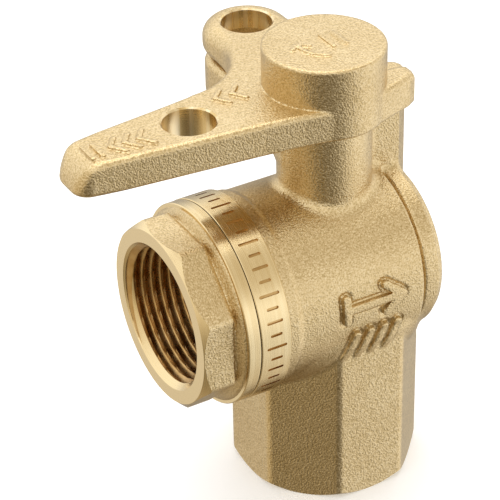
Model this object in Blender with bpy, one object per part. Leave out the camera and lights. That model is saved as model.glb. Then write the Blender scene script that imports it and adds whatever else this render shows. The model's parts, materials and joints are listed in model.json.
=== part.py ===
"""Lockable right-angle ball valve (angle stop valve), DN20, forged brass.

Every piece is drawn in the valve's own frame, in millimetres: the stem turns about Z, the inlet
runs along X and opens at -X, the outlet runs along Z and opens downwards, and the centre of the
ball is the origin. One empty moves that frame, so that the middle of the footprint of the
whole valve is the world's origin and the outlet face stands on Z = 0.
"""

import math

import bmesh
import bpy
from mathutils import Matrix

MM = 0.001
GAP = 0.3

# Pipe ends: G 3/4 female sockets in octagonal ends.
ACROSS_FLATS = 32.0
THREAD_MINOR_RADIUS = 12.06
MOUTH_RADIUS = 13.42
SOCKET_DEPTH = 16.0
CORNER_RADIUS = ACROSS_FLATS / 2 / math.cos(math.pi / 8)
END_CHAMFER = 1.4
OUTLET_FACE = -41.0
INLET_FACE = -33.5
OCTAGON_TOP = -4.0

# Barrel of the body, turned about X.
BARREL_RADIUS = 17.4
BAND_RADIUS = 18.4
SEAM = -23.6
BAND_END = -17.8
BARREL_START = -15.3
SHOULDER = (9.2, 10.8)
REAR_DISC_RADIUS = 16.1
REAR_RIM_START = 14.1
REAR_RIM_RADIUS = 15.4
REAR_RIM_BEVEL = 0.5
REAR_FACE = 15.4

# Inside of the body.
CONNECTOR_BORE_RADIUS = 15.7
CONNECTOR_BORE_END = -16.8
NOSE_BORE_RADIUS = 14.7
NOSE_BORE_END = -13.4
CAVITY_RADIUS = 13.9
CAVITY_END = 7.2
REAR_POCKET_RADIUS = 12.4
REAR_POCKET_END = 11.5
BALL_RECESS_END = 13.3
OUTLET_PASSAGE_RADIUS = 9.0

# Neck, padlock lug and stop post.
NECK_RADIUS = 8.35
NECK_TOP = 30.2
NECK_FOOT = 8.0
NECK_FILLET = ((11.5, 14.0), (9.2, 17.5), (NECK_RADIUS, 21.0))
STEM_BORE_RADIUS = 5.7
WASHER_POCKET_RADIUS = 7.5
WASHER_POCKET_TOP = 16.4
LOCK_RADIUS = 26.2
LOCK_HOLE_RADIUS = 4.6
LUG_RADIUS = 7.7
LUG_START = 0.4
LUG_UNDERSIDE = 22.0
LUG_TOP = 30.0
POST_FRONT = -1.4
POST_REAR = 6.8
POST_START = 6.0
POST_REACH = 19.3
POST_BULGE = ((-4.7, POST_FRONT), (-1.6, 1.2), (-0.3, 3.6), (0.0, 4.8), (-0.5, 6.0), (-1.5, POST_REAR))
POST_INNER_RADIUS = 11.0
POST_FOOT = 9.0
POST_TOP = 32.4

# Connector that screws into the body.
COLLAR_START = -27.5
COLLAR_START_RADIUS = 16.2
CONNECTOR_BAND_START = -26.1
COLLAR_RADIUS = 17.9
CONNECTOR_BAND_RADIUS = 18.3
CONNECTOR_THREAD_RADIUS = 15.4
NOSE_RADIUS = 14.4
NOSE_END = -13.6
CONNECTOR_GROOVE_RADIUS = 13.0
CONNECTOR_GROOVE = (-16.2, -14.4)
CONNECTOR_RING = (13.95, 0.6)

# Ball and its seats.
BALL_RADIUS = 12.8
PORT_RADIUS = 7.5
SLOT_WIDTH = 5.6
SLOT_FLOOR = 8.3
SEAT_BORE_RADIUS = 7.7
SEAT_SPHERE_RADIUS = BALL_RADIUS + GAP
SEAT_LIP = 7.5

# Stem.
TANG_WIDTH = 5.0
TANG_LENGTH = 9.0
TANG_FOOT = 8.7
STEM_SHOULDER_RADIUS = 7.1
STEM_SHOULDER = (12.9, 14.9)
STEM_RADIUS = 5.4
STEM_GROOVE_RADIUS = 4.3
STEM_GROOVES = ((19.0, 20.8), (23.4, 25.2))
STEM_RING = (5.0, 0.55)
SQUARE_RADIUS = 5.0
SQUARE_HALF_WIDTH = 4.0
FLATS_FOOT = 30.4
STEM_TOP = 41.2
WASHER = (5.75, 7.2, 15.2, 16.1)

# Lever.
DRUM_RADIUS = 10.7
DRUM_FOOT = 31.6
DRUM_TOP = 43.9
DRUM_EDGE = 0.6
HUB_RADIUS = 10.45
PLATE_BOTTOM = 30.6
PLATE_TOP = 36.6
EAR_RADIUS = 8.0
ARM_TIP = -49.2
ARM_TIP_HALF_WIDTH = 4.8
TIP_RADIUS = 3.2
ARM_NEAR_SIDE = ((-16.0, -7.9), (-9.0, -8.9), (-4.0, -9.9))
ARM_FAR_SIDE = ((-22.3, 7.75), (-27.0, 7.1))
WEB_RADIUS = 14.0
WEB_FOOT = 8.0
STUB_START_ANGLE = -62
STUB_REAR = POST_FRONT - GAP
STUB_CORNERS = ((13.2, -6.6), (14.8, -5.6), (15.2, -4.4), (15.2, STUB_REAR - 1.0), (14.2, STUB_REAR))
CHANNEL = (10.4, 20.7)
CHANNEL_STOP = -(POST_REAR + GAP)
CHANNEL_CEILING = POST_TOP + 0.4
EAR_POCKET_RADIUS = 6.2
SOCKET_CEILING = STEM_TOP + GAP
PIN_HEIGHT = 38.9
PIN_RADIUS = 1.25
PIN_HOLE_RADIUS = 1.5
PIN_BEVEL = 0.25
PIN_SPAN = (-6.4, 10.4)

# Middle of the footprint: from the arm's tip to the post, and from the barrel to the ear.
FOOTPRINT_MIDDLE = (
    (ARM_TIP + POST_REACH) / 2,
    (LOCK_RADIUS + EAR_RADIUS - BAND_RADIUS) / 2,
)

# Facets round a full circle.
SEGMENTS = 40
BALL_SEGMENTS = 32
HOLE_SEGMENTS = 32
SMALL_SEGMENTS = 24
PIN_SEGMENTS = 16
RING_SECTION_SEGMENTS = 8


def arc(centre, radius, start, end, steps):
    """Points on a circle from one angle to another, in degrees."""
    points = []
    for i in range(steps + 1):
        angle = math.radians(start + (end - start) * i / steps)
        points.append((centre[0] + radius * math.cos(angle), centre[1] + radius * math.sin(angle)))
    return points


def material(name, colour, roughness, metallic):
    finish = bpy.data.materials.new(name)
    finish.use_nodes = True
    shader = finish.node_tree.nodes["Principled BSDF"]
    shader.inputs["Base Color"].default_value = (*colour, 1.0)
    shader.inputs["Roughness"].default_value = roughness
    shader.inputs["Metallic"].default_value = metallic
    return finish


def valve_frame():
    """Empty that carries the valve's own frame."""
    empty = bpy.data.objects.new("valve", None)
    empty.location = (-FOOTPRINT_MIDDLE[0] * MM, -FOOTPRINT_MIDDLE[1] * MM, -OUTLET_FACE * MM)
    bpy.context.collection.objects.link(empty)
    return empty


def solid(name, mesh_builder, finish, frame):
    """Object whose bmesh is drawn in millimetres by mesh_builder."""
    bm = bmesh.new()
    mesh_builder(bm)
    bmesh.ops.scale(bm, vec=(MM, MM, MM), verts=bm.verts)
    bmesh.ops.recalc_face_normals(bm, faces=bm.faces)
    mesh = bpy.data.meshes.new(name)
    bm.to_mesh(mesh)
    bm.free()
    mesh.shade_smooth()
    mesh.set_sharp_from_angle(angle=math.radians(30))
    mesh.materials.append(finish)
    obj = bpy.data.objects.new(name, mesh)
    bpy.context.collection.objects.link(obj)
    obj.parent = frame
    return obj


def lathe(profile, axis="Z", segments=SEGMENTS):
    """Builder of a turned solid: profile holds (radius, place along the axis) pairs, in order.

    A profile that starts and ends on the axis gives a solid, any other one gives a ring.
    """

    def build(bm):
        verts = [bm.verts.new((r, 0, h)) for r, h in profile]
        is_ring = profile[0][0] > 0
        edges = [bm.edges.new(pair) for pair in zip(verts, verts[1:])]
        if is_ring:
            edges.append(bm.edges.new((verts[-1], verts[0])))
        bmesh.ops.spin(
            bm, geom=verts + edges, cent=(0, 0, 0), axis=(0, 0, 1), angle=2 * math.pi,
            steps=segments, use_merge=True,
        )
        bmesh.ops.remove_doubles(bm, verts=bm.verts, dist=1e-4)
        if axis == "X":
            turn = Matrix.Rotation(math.pi / 2, 4, "Y")
            bmesh.ops.transform(bm, matrix=turn, verts=bm.verts)

    return build


def cylinder(radius, start, end, axis="Z", segments=SEGMENTS):
    return lathe([(0, start), (radius, start), (radius, end), (0, end)], axis, segments)


def torus(mean_radius, section_radius, place, axis="Z"):
    section = arc((mean_radius, place), section_radius, 0, 360, RING_SECTION_SEGMENTS)[:-1]
    return lathe(section, axis, SMALL_SEGMENTS)


def prism(outline, bottom, top):
    """Builder of an upright solid over an outline."""

    def build(bm):
        lower = [bm.verts.new((x, y, bottom)) for x, y in outline]
        upper = [bm.verts.new((x, y, top)) for x, y in outline]
        bm.faces.new(lower)
        bm.faces.new(upper)
        for i in range(len(lower)):
            j = (i + 1) % len(lower)
            bm.faces.new((lower[i], lower[j], upper[j], upper[i]))

    return build


def box(low, high):
    outline = [(low[0], low[1]), (high[0], low[1]), (high[0], high[1]), (low[0], high[1])]
    return prism(outline, low[2], high[2])


def operand(obj, mesh_builder, operation, label):
    """Shapes obj with a hidden solid, through an exact Boolean."""
    other = solid(f"{obj.name}_{label}", mesh_builder, obj.data.materials[0], obj.parent)
    other.hide_render = True
    other.display_type = "WIRE"
    modifier = obj.modifiers.new(label, "BOOLEAN")
    modifier.operation = operation
    modifier.solver = "EXACT"
    modifier.object = other


def octagon_outline(radius):
    """Octagon, four points a side, whose corners are cut back to a radius."""
    half = ACROSS_FLATS / 2
    points = []
    for side in range(8):
        turn = side * math.pi / 4
        for share in (-1, -0.5, 0, 0.5):
            offset = share * half * math.tan(math.pi / 8)
            scale = min(1.0, radius / math.hypot(half, offset))
            u = half * math.cos(turn) - offset * math.sin(turn)
            v = half * math.sin(turn) + offset * math.cos(turn)
            points.append((u * scale, v * scale))
    return points


def octagon_end(face, inner, axis):
    """Octagonal pipe end from its end face inwards, whose corners are turned off at the face."""
    side = math.copysign(1, inner - face)
    sections = (
        (CORNER_RADIUS - END_CHAMFER, face),
        (CORNER_RADIUS, face + side * END_CHAMFER),
        (CORNER_RADIUS, inner),
    )

    def build(bm):
        loops = []
        for radius, place in sections:
            loops.append([bm.verts.new((u, v, place)) for u, v in octagon_outline(radius)])
        count = len(loops[0])
        for lower, upper in zip(loops, loops[1:]):
            for i in range(count):
                j = (i + 1) % count
                bm.faces.new((lower[i], lower[j], upper[j], upper[i]))
        bm.faces.new(loops[0])
        bm.faces.new(loops[-1])
        if axis == "X":
            turn = Matrix.Rotation(math.pi / 2, 4, "Y")
            bmesh.ops.transform(bm, matrix=turn, verts=bm.verts)

    return build


def pipe_socket(face, bottom):
    """Profile of a threaded socket with its mouth chamfer, drawn at the thread's minor radius."""
    inward = 1 if bottom > face else -1
    lead_in = MOUTH_RADIUS - THREAD_MINOR_RADIUS
    return [
        (0, face - inward),
        (MOUTH_RADIUS, face - inward),
        (MOUTH_RADIUS, face),
        (THREAD_MINOR_RADIUS, face + inward * lead_in),
        (THREAD_MINOR_RADIUS, bottom),
        (0, bottom),
    ]


def barrel_profile():
    return [
        (0, SEAM),
        (BAND_RADIUS, SEAM),
        (BAND_RADIUS, BAND_END),
        (BARREL_RADIUS, BARREL_START),
        (BARREL_RADIUS, SHOULDER[0]),
        (REAR_DISC_RADIUS, SHOULDER[1]),
        (REAR_DISC_RADIUS, REAR_RIM_START),
        (REAR_RIM_RADIUS, REAR_RIM_START),
        (REAR_RIM_RADIUS, REAR_FACE - REAR_RIM_BEVEL),
        (REAR_RIM_RADIUS - REAR_RIM_BEVEL, REAR_FACE),
        (0, REAR_FACE),
    ]


def make_body(frame, brass):
    body = solid("valve_body", lathe(barrel_profile(), "X"), brass, frame)
    operand(body, octagon_end(OUTLET_FACE, OCTAGON_TOP, "Z"), "UNION", "outlet_end")
    foot_radius = NECK_FILLET[0][0]
    neck = [(0, NECK_FOOT), (foot_radius, NECK_FOOT), *NECK_FILLET, (NECK_RADIUS, NECK_TOP), (0, NECK_TOP)]
    operand(body, lathe(neck), "UNION", "neck")
    far_end = arc((0, LOCK_RADIUS), LUG_RADIUS, 0, 180, SEGMENTS // 2)
    lug = [(LUG_RADIUS, LUG_START), *far_end, (-LUG_RADIUS, LUG_START)]
    operand(body, prism(lug, LUG_UNDERSIDE, LUG_TOP), "UNION", "padlock_lug")
    outer_end = [(POST_REACH + inset, y) for inset, y in POST_BULGE]
    post = [(POST_START, POST_FRONT), *outer_end, (POST_START, POST_REAR)]
    operand(body, prism(post, POST_FOOT, POST_TOP), "UNION", "stop_post")
    hub_room = cylinder(POST_INNER_RADIUS, NECK_TOP, POST_TOP + 1)
    operand(body, hub_room, "DIFFERENCE", "hub_room")
    connector_bore = [
        (0, SEAM - 1),
        (CONNECTOR_BORE_RADIUS, SEAM - 1),
        (CONNECTOR_BORE_RADIUS, CONNECTOR_BORE_END),
        (NOSE_BORE_RADIUS, CONNECTOR_BORE_END),
        (NOSE_BORE_RADIUS, NOSE_BORE_END),
        (CAVITY_RADIUS, NOSE_BORE_END),
        (CAVITY_RADIUS, CAVITY_END),
        (REAR_POCKET_RADIUS, CAVITY_END),
        (REAR_POCKET_RADIUS, REAR_POCKET_END),
        (SEAT_BORE_RADIUS, REAR_POCKET_END),
        (SEAT_BORE_RADIUS, BALL_RECESS_END),
        (0, BALL_RECESS_END),
    ]
    operand(body, lathe(connector_bore, "X"), "DIFFERENCE", "connector_bore")
    socket = pipe_socket(OUTLET_FACE, OUTLET_FACE + SOCKET_DEPTH)
    operand(body, lathe(socket), "DIFFERENCE", "outlet_socket")
    passage = cylinder(OUTLET_PASSAGE_RADIUS, OUTLET_FACE + SOCKET_DEPTH - 1, -6)
    operand(body, passage, "DIFFERENCE", "outlet_passage")
    stem_bore = [
        (0, 8),
        (WASHER_POCKET_RADIUS, 8),
        (WASHER_POCKET_RADIUS, WASHER_POCKET_TOP),
        (STEM_BORE_RADIUS, WASHER_POCKET_TOP),
        (STEM_BORE_RADIUS, NECK_TOP + 1),
        (0, NECK_TOP + 1),
    ]
    operand(body, lathe(stem_bore), "DIFFERENCE", "stem_bore")
    operand(body, lock_hole(LUG_UNDERSIDE - 1, NECK_TOP + 1), "DIFFERENCE", "padlock_hole")


def lock_hole(bottom, top, x=0.0, y=LOCK_RADIUS, radius=LOCK_HOLE_RADIUS):
    return prism(arc((x, y), radius, 0, 360, HOLE_SEGMENTS)[:-1], bottom, top)


def make_connector(frame, brass):
    octagon = octagon_end(INLET_FACE, CONNECTOR_BAND_START, "X")
    connector = solid("inlet_connector", octagon, brass, frame)
    shoulder = SEAM - GAP
    turned = [
        (0, COLLAR_START),
        (COLLAR_START_RADIUS, COLLAR_START),
        (COLLAR_RADIUS, CONNECTOR_BAND_START),
        (CONNECTOR_BAND_RADIUS, CONNECTOR_BAND_START),
        (CONNECTOR_BAND_RADIUS, shoulder),
        (CONNECTOR_THREAD_RADIUS, shoulder),
        (CONNECTOR_THREAD_RADIUS, CONNECTOR_BORE_END - GAP),
        (NOSE_RADIUS, CONNECTOR_BORE_END - GAP),
        (NOSE_RADIUS, CONNECTOR_GROOVE[0]),
        (CONNECTOR_GROOVE_RADIUS, CONNECTOR_GROOVE[0]),
        (CONNECTOR_GROOVE_RADIUS, CONNECTOR_GROOVE[1]),
        (NOSE_RADIUS, CONNECTOR_GROOVE[1]),
        (NOSE_RADIUS, NOSE_END),
        (0, NOSE_END),
    ]
    operand(connector, lathe(turned, "X"), "UNION", "turned_part")
    socket = pipe_socket(INLET_FACE, INLET_FACE + SOCKET_DEPTH)
    operand(connector, lathe(socket, "X"), "DIFFERENCE", "inlet_socket")
    bore = cylinder(SEAT_BORE_RADIUS, INLET_FACE + SOCKET_DEPTH - 1, NOSE_END + 1, "X")
    operand(connector, bore, "DIFFERENCE", "bore")


def make_ball(frame, chrome):
    meridian = arc((0, 0), BALL_RADIUS, -90, 90, BALL_SEGMENTS // 2)[1:-1]
    sphere = lathe([(0, -BALL_RADIUS), *meridian, (0, BALL_RADIUS)], segments=BALL_SEGMENTS)
    ball = solid("ball", sphere, chrome, frame)
    mouth = -BALL_RADIUS - 2
    inner_end = arc((0, 0), PORT_RADIUS, 0, 90, SMALL_SEGMENTS // 4)[:-1]
    port = [(0, mouth), (PORT_RADIUS, mouth), *inner_end, (0, PORT_RADIUS)]
    operand(ball, lathe(port, "X", SMALL_SEGMENTS), "DIFFERENCE", "inlet_port")
    operand(ball, lathe(port, "Z", SMALL_SEGMENTS), "DIFFERENCE", "outlet_port")
    slot_low = (-SLOT_WIDTH / 2, -BALL_RADIUS - 1, SLOT_FLOOR)
    slot_high = (SLOT_WIDTH / 2, BALL_RADIUS + 1, BALL_RADIUS + 1)
    operand(ball, box(slot_low, slot_high), "DIFFERENCE", "stem_slot")


def seat_profile(outer_radius, back, side):
    """Ring with a spherical face that follows the ball; side is -1 at the inlet, 1 at the rear."""
    lip_angle = math.degrees(math.asin(SEAT_LIP / SEAT_SPHERE_RADIUS))
    bore_angle = math.degrees(math.acos(SEAT_BORE_RADIUS / SEAT_SPHERE_RADIUS))
    face = arc((0, 0), SEAT_SPHERE_RADIUS, lip_angle, bore_angle, 4)
    corners = [(SEAT_BORE_RADIUS, back), (outer_radius, back), (outer_radius, side * SEAT_LIP)]
    return corners + [(r, side * x) for r, x in face]


def make_seats(frame, plastic):
    inlet = seat_profile(CAVITY_RADIUS - GAP, NOSE_END + GAP, -1)
    solid("inlet_seat", lathe(inlet, "X"), plastic, frame)
    rear = seat_profile(REAR_POCKET_RADIUS - GAP, REAR_POCKET_END - GAP, 1)
    solid("rear_seat", lathe(rear, "X"), plastic, frame)


def make_stem(frame, brass):
    grooves = []
    for start, end in STEM_GROOVES:
        grooves += [
            (STEM_RADIUS, start),
            (STEM_GROOVE_RADIUS, start),
            (STEM_GROOVE_RADIUS, end),
            (STEM_RADIUS, end),
        ]
    profile = [
        (0, STEM_SHOULDER[0]),
        (STEM_SHOULDER_RADIUS, STEM_SHOULDER[0]),
        (STEM_SHOULDER_RADIUS, STEM_SHOULDER[1]),
        (STEM_RADIUS, STEM_SHOULDER[1]),
        *grooves,
        (STEM_RADIUS, NECK_TOP),
        (SQUARE_RADIUS, NECK_TOP),
        (SQUARE_RADIUS, STEM_TOP),
        (0, STEM_TOP),
    ]
    stem = solid("stem", lathe(profile, segments=SMALL_SEGMENTS), brass, frame)
    tang_low = (-TANG_WIDTH / 2, -TANG_LENGTH / 2, TANG_FOOT)
    tang_high = (TANG_WIDTH / 2, TANG_LENGTH / 2, STEM_SHOULDER[0] + 1)
    operand(stem, box(tang_low, tang_high), "UNION", "tang")
    for side, label in ((-1, "left_flat"), (1, "right_flat")):
        near = side * SQUARE_HALF_WIDTH
        far = side * (SQUARE_RADIUS + 1)
        low = (min(near, far), -SQUARE_RADIUS - 1, FLATS_FOOT)
        high = (max(near, far), SQUARE_RADIUS + 1, STEM_TOP + 1)
        operand(stem, box(low, high), "DIFFERENCE", label)
    operand(stem, pin_hole(-DRUM_RADIUS, DRUM_RADIUS), "DIFFERENCE", "pin_hole")


def pin_hole(start, end):
    """Hole along Y for the lever's pin."""

    def build(bm):
        cylinder(PIN_HOLE_RADIUS, start, end, segments=PIN_SEGMENTS)(bm)
        bmesh.ops.transform(bm, matrix=Matrix.Rotation(-math.pi / 2, 4, "X"), verts=bm.verts)
        bmesh.ops.translate(bm, vec=(0, 0, PIN_HEIGHT), verts=bm.verts)

    return build


def make_stem_seals(frame, plastic, rubber):
    inner, outer, bottom, top = WASHER
    ring = [(inner, bottom), (outer, bottom), (outer, top), (inner, top)]
    solid("stem_thrust_washer", lathe(ring, segments=SMALL_SEGMENTS), plastic, frame)
    for name, (start, end) in zip(("lower_stem_o_ring", "upper_stem_o_ring"), STEM_GROOVES):
        solid(name, torus(*STEM_RING, (start + end) / 2), rubber, frame)
    middle = sum(CONNECTOR_GROOVE) / 2
    solid("connector_o_ring", torus(*CONNECTOR_RING, middle, "X"), rubber, frame)


def plate_outline():
    """Lever plate in plan, anticlockwise: arm, hub, stub, ear and the web between ear and arm."""
    stub_root = math.degrees(math.asin(STUB_REAR / HUB_RADIUS))
    ear_root = math.degrees(math.acos(EAR_RADIUS / HUB_RADIUS))
    tip_centre = ARM_TIP + TIP_RADIUS
    tip_half = ARM_TIP_HALF_WIDTH - TIP_RADIUS
    web_centre = (-EAR_RADIUS - WEB_RADIUS, WEB_FOOT + WEB_RADIUS)
    return [
        *arc((tip_centre, -tip_half), TIP_RADIUS, 180, 262, 5),
        *ARM_NEAR_SIDE,
        *arc((0, 0), HUB_RADIUS, -88, STUB_START_ANGLE, 3),
        *STUB_CORNERS,
        *arc((0, 0), HUB_RADIUS, stub_root, ear_root, 6),
        *arc((0, LOCK_RADIUS), EAR_RADIUS, 0, 180, SEGMENTS // 2),
        *arc(web_centre, WEB_RADIUS, 0, -88, 9),
        *ARM_FAR_SIDE,
        *arc((tip_centre, tip_half), TIP_RADIUS, 98, 180, 5),
    ]


def channel_outline():
    """Relief under the ear in which the stop post runs, closed by the web's stop face."""
    inner, outer = CHANNEL
    outer_end = math.degrees(math.acos(CHANNEL_STOP / outer))
    inner_end = math.degrees(math.acos(CHANNEL_STOP / inner))
    return [*arc((0, 0), outer, 0, outer_end, 14), *arc((0, 0), inner, inner_end, 0, 14)]


def make_lever(frame, brass):
    lever = solid("lever", prism(plate_outline(), PLATE_BOTTOM, PLATE_TOP), brass, frame)
    drum = [
        (0, DRUM_FOOT),
        (DRUM_RADIUS, DRUM_FOOT),
        (DRUM_RADIUS, DRUM_TOP - DRUM_EDGE),
        (DRUM_RADIUS - DRUM_EDGE, DRUM_TOP),
        (0, DRUM_TOP),
    ]
    operand(lever, lathe(drum), "UNION", "drum")
    channel = prism(channel_outline(), PLATE_BOTTOM - 1, CHANNEL_CEILING)
    operand(lever, channel, "DIFFERENCE", "post_channel")
    pocket = lock_hole(PLATE_BOTTOM - 1, CHANNEL_CEILING, radius=EAR_POCKET_RADIUS)
    operand(lever, pocket, "DIFFERENCE", "ear_pocket")
    ear_hole = lock_hole(PLATE_BOTTOM - 1, PLATE_TOP + 1)
    operand(lever, ear_hole, "DIFFERENCE", "ear_hole")
    arm_hole = lock_hole(PLATE_BOTTOM - 1, PLATE_TOP + 1, -LOCK_RADIUS, 0.0)
    operand(lever, arm_hole, "DIFFERENCE", "arm_hole")
    operand(lever, stem_socket, "DIFFERENCE", "stem_socket")
    operand(lever, pin_hole(PIN_SPAN[0] - GAP, DRUM_RADIUS + 1), "DIFFERENCE", "pin_hole")


def stem_socket(bm):
    """Blind double-D socket for the top of the stem."""
    radius = SQUARE_RADIUS + GAP
    half = SQUARE_HALF_WIDTH + GAP
    corner = math.degrees(math.acos(half / radius))
    upper = arc((0, 0), radius, corner, 180 - corner, 8)
    lower = arc((0, 0), radius, 180 + corner, 360 - corner, 8)
    prism([*upper, *lower], PLATE_BOTTOM - 1, SOCKET_CEILING)(bm)


def make_lever_pin(frame, steel):
    def build(bm):
        start, end = PIN_SPAN
        profile = [
            (0, start),
            (PIN_RADIUS - PIN_BEVEL, start),
            (PIN_RADIUS, start + PIN_BEVEL),
            (PIN_RADIUS, end - PIN_BEVEL),
            (PIN_RADIUS - PIN_BEVEL, end),
            (0, end),
        ]
        lathe(profile, segments=PIN_SEGMENTS)(bm)
        bmesh.ops.transform(bm, matrix=Matrix.Rotation(-math.pi / 2, 4, "X"), verts=bm.verts)
        bmesh.ops.translate(bm, vec=(0, 0, PIN_HEIGHT), verts=bm.verts)

    solid("lever_pin", build, steel, frame)


def main():
    for obj in list(bpy.data.objects):
        bpy.data.objects.remove(obj)
    frame = valve_frame()
    brass = (0.66, 0.49, 0.22)
    make_body(frame, material("forged_brass_body", brass, 0.5, 1.0))
    make_connector(frame, material("forged_brass_connector", brass, 0.5, 1.0))
    make_lever(frame, material("forged_brass_lever", brass, 0.5, 1.0))
    make_stem(frame, material("turned_brass", (0.76, 0.56, 0.22), 0.25, 1.0))
    make_ball(frame, material("chromed_ball", (0.75, 0.76, 0.78), 0.08, 1.0))
    ptfe = material("ptfe", (0.9, 0.9, 0.88), 0.5, 0.0)
    make_seats(frame, ptfe)
    make_stem_seals(frame, ptfe, material("rubber", (0.03, 0.03, 0.03), 0.7, 0.0))
    make_lever_pin(frame, material("steel", (0.55, 0.55, 0.56), 0.35, 1.0))
    bpy.context.view_layer.update()


main()
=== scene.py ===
"""Looks of the angle stop valve: forged and machined surfaces, marks, finishes, floor, light, camera.

The forgings are distance fields, in millimetres in the valve's own frame (ball centre at the origin,
stem along Z, inlet towards -X), turned into meshes by surface nets. What is machined in the real
valve (sockets, threads, holes, turned bands) is then cut with crisp solids.
"""

import json
import math

import bmesh
import bpy
import numpy as np
from mathutils import Matrix, Vector


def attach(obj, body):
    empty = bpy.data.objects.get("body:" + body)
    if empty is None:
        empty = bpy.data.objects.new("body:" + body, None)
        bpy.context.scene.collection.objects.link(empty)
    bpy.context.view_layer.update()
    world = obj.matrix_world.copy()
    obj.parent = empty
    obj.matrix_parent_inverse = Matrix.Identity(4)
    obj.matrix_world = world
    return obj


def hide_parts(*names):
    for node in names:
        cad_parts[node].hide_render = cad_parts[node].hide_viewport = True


MM = 0.001

# Fineness of the meshes: cells of the surface nets, then segments of the round solids.
BODY_STEP = 0.3
LEVER_STEP = 0.25
CONNECTOR_STEP = 0.25
JOIN_DEPTH = 0.02
LEAST_GRADIENT = 0.3
ROUND = 160
HOLE_ROUND = 96
PIN_ROUND = 48
THREAD_COLUMNS = 132
THREAD_ROWS_PER_TURN = 22
SMOOTH_BELOW = 38

# Room past a face that is still to be cut, and half the room taken up across the barrel.
SPARE = 1.0
HALF_ROOM = 19.0
FAR = 9.0

# Slots of a brass piece's mesh.
FORGED = 0
TURNED_X = 1
TURNED_Z = 2
DRILLED = 3
# Threads and engraved ticks, which get the darker finish that paints shade into the cuts.
THREADED = 4

# Pipe ends, G 3/4.
ACROSS_FLATS = 32.0
OCTAGON_CORNER = 0.5
THREAD_PITCH = 1.814
THREAD_MINOR = 12.06
THREAD_MAJOR = 13.22
THREAD_SHARPNESS = 0.97
THREAD_END_ROOM = 1.6
THREAD_FADE = 1.2
MOUTH_RADIUS = 13.42
SOCKET_DEPTH = 16.0
END_FACE_RADIUS = 15.9
CHAMFER_REACH = 4.0
OUTLET_FACE = -41.0
INLET_FACE = -33.5

# Barrel, with the strip and the turned band at its inlet end.
BARREL_RADIUS = 17.4
BARREL_REAR = 10.0
BARREL_EDGE = 0.5
STRIP_RISE = 0.35
STRIP_END = -15.3
STRIP_FADE = 1.0
SEAM = -23.6
BAND_RADIUS = 18.4
BAND_INNER_RADIUS = 14.0
BAND_END = -17.8
BAND_EDGE = 0.12
BAND_OVERLAP = 2.0
TICK_COUNT = 48
TICK_HALF_LENGTHS = (1.7, 0.9, 1.3, 0.9)
TICK_HALF_WIDTH = 0.27
TICK_DEPTH = 0.3

# Rear end: waist, disc and sloped rim.
WAIST_RADIUS = 15.2
DISC_START = 11.1
DISC_START_EDGE = 0.4
DISC_RADIUS = 15.9
DISC_REAR_EDGE = 0.2
RIM_START = 14.1
RIM_RADIUS = 15.6
RIM_SLOPE = 0.5
RIM_EDGE = 0.4
RIM_OVERLAP = 0.6
RIM_FILLET = 0.1
REAR_FACE = 15.4
REAR_FILLET = 0.3

# Saddle between the barrel and the octagon.
SADDLE_RADIUS = 18.4
SADDLE_TOP = -5.5
SADDLE_TOP_EDGE = 2.5
SADDLE_CORNER = 2.0
SADDLE_MARGIN = 0.9
SADDLE_EDGE = 1.6
SADDLE_REAR = 13.2
SADDLE_FILLET = 2.0

# Outlet end, whose rear flat slopes in under the disc.
OUTLET_TOP = -3.0
OUTLET_TOP_EDGE = 1.0
OUTLET_REAR_TOP = -17.0
OUTLET_REAR_STEEPNESS = 4.0
OUTLET_REAR_EDGE = 0.6
OUTLET_FILLET = 0.35

# Raised marks on the barrel, with a shallow moat round them.
FLOW_HALF_WIDTH = 0.75
FLOW_RISE = 0.7
FLOW_ROOT = 1.5
FLOW_EDGE = 0.2
FLOW_ROOT_EDGE = 0.1
FLOW_FILLET = 0.15
MOAT_WIDTH = 0.55
MOAT_DEPTH = 0.3

# Inside of the body: (radius, where it ends) pairs.
CONNECTOR_BORE = ((15.7, -16.8), (14.7, -13.4), (13.9, 7.2), (12.4, 11.5), (7.7, 13.3))
STEM_BORE_START = 8.0
STEM_BORE = ((7.5, 16.4), (5.7, 31.2))
OUTLET_PASSAGE = ((9.0, -6.0),)

# Neck, lug and post.
NECK_RADIUS = 8.35
NECK_TOP = 30.2
NECK_FILLET = 1.6
LOCK_RADIUS = 26.2
LOCK_HOLE_RADIUS = 4.6
COUNTERSINK = 0.28
LUG_RADIUS = 7.7
LUG_ROOT = 0.4
LUG_TOP = 30.0
LUG_UNDERSIDE = 22.0
LUG_TOP_EDGE = 1.3
LUG_UNDER_EDGE = 1.6
LUG_FILLET = 1.6
POST_FRONT = -1.4
POST_REAR = 6.8
POST_ROOT = 6.0
POST_INNER_RADIUS = 11.0
POST_TOP = 32.4
POST_REACH = 19.0
POST_FOOT = 9.0
POST_EDGE = 0.8
POST_FILLET = 1.4
POST_OUTLINE = [
    (POST_ROOT, POST_FRONT), (14.6, POST_FRONT), (POST_REACH - 1.6, 1.2), (POST_REACH - 0.3, 3.6),
    (POST_REACH, 4.8), (POST_REACH - 0.5, 6.0), (POST_REACH - 1.5, POST_REAR), (POST_ROOT, POST_REAR),
]

# Connector.
SEAM_GAP = 0.08
COLLAR = (-27.5, -26.1)
COLLAR_START_RADIUS = 15.4
COLLAR_RADIUS = 17.9
COLLAR_OVERLAPS = (1.5, 0.6)
COLLAR_FILLET = 0.3
CONNECTOR_EDGE = 0.7
CONNECTOR_OVERLAP = 0.2
CONNECTOR_CORE = (15.0, -27.0)
CONNECTOR_BAND_RADIUS = 18.3
CONNECTOR_BAND_EDGE = 0.15
CONNECTOR_THREAD = (15.4, -17.1)
CONNECTOR_NOSE = (14.4, -13.6)
GROOVE_RADIUS = 13.0
GROOVE = (-16.2, -14.4)
INLET_PASSAGE = ((7.7, -12.6),)

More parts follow.
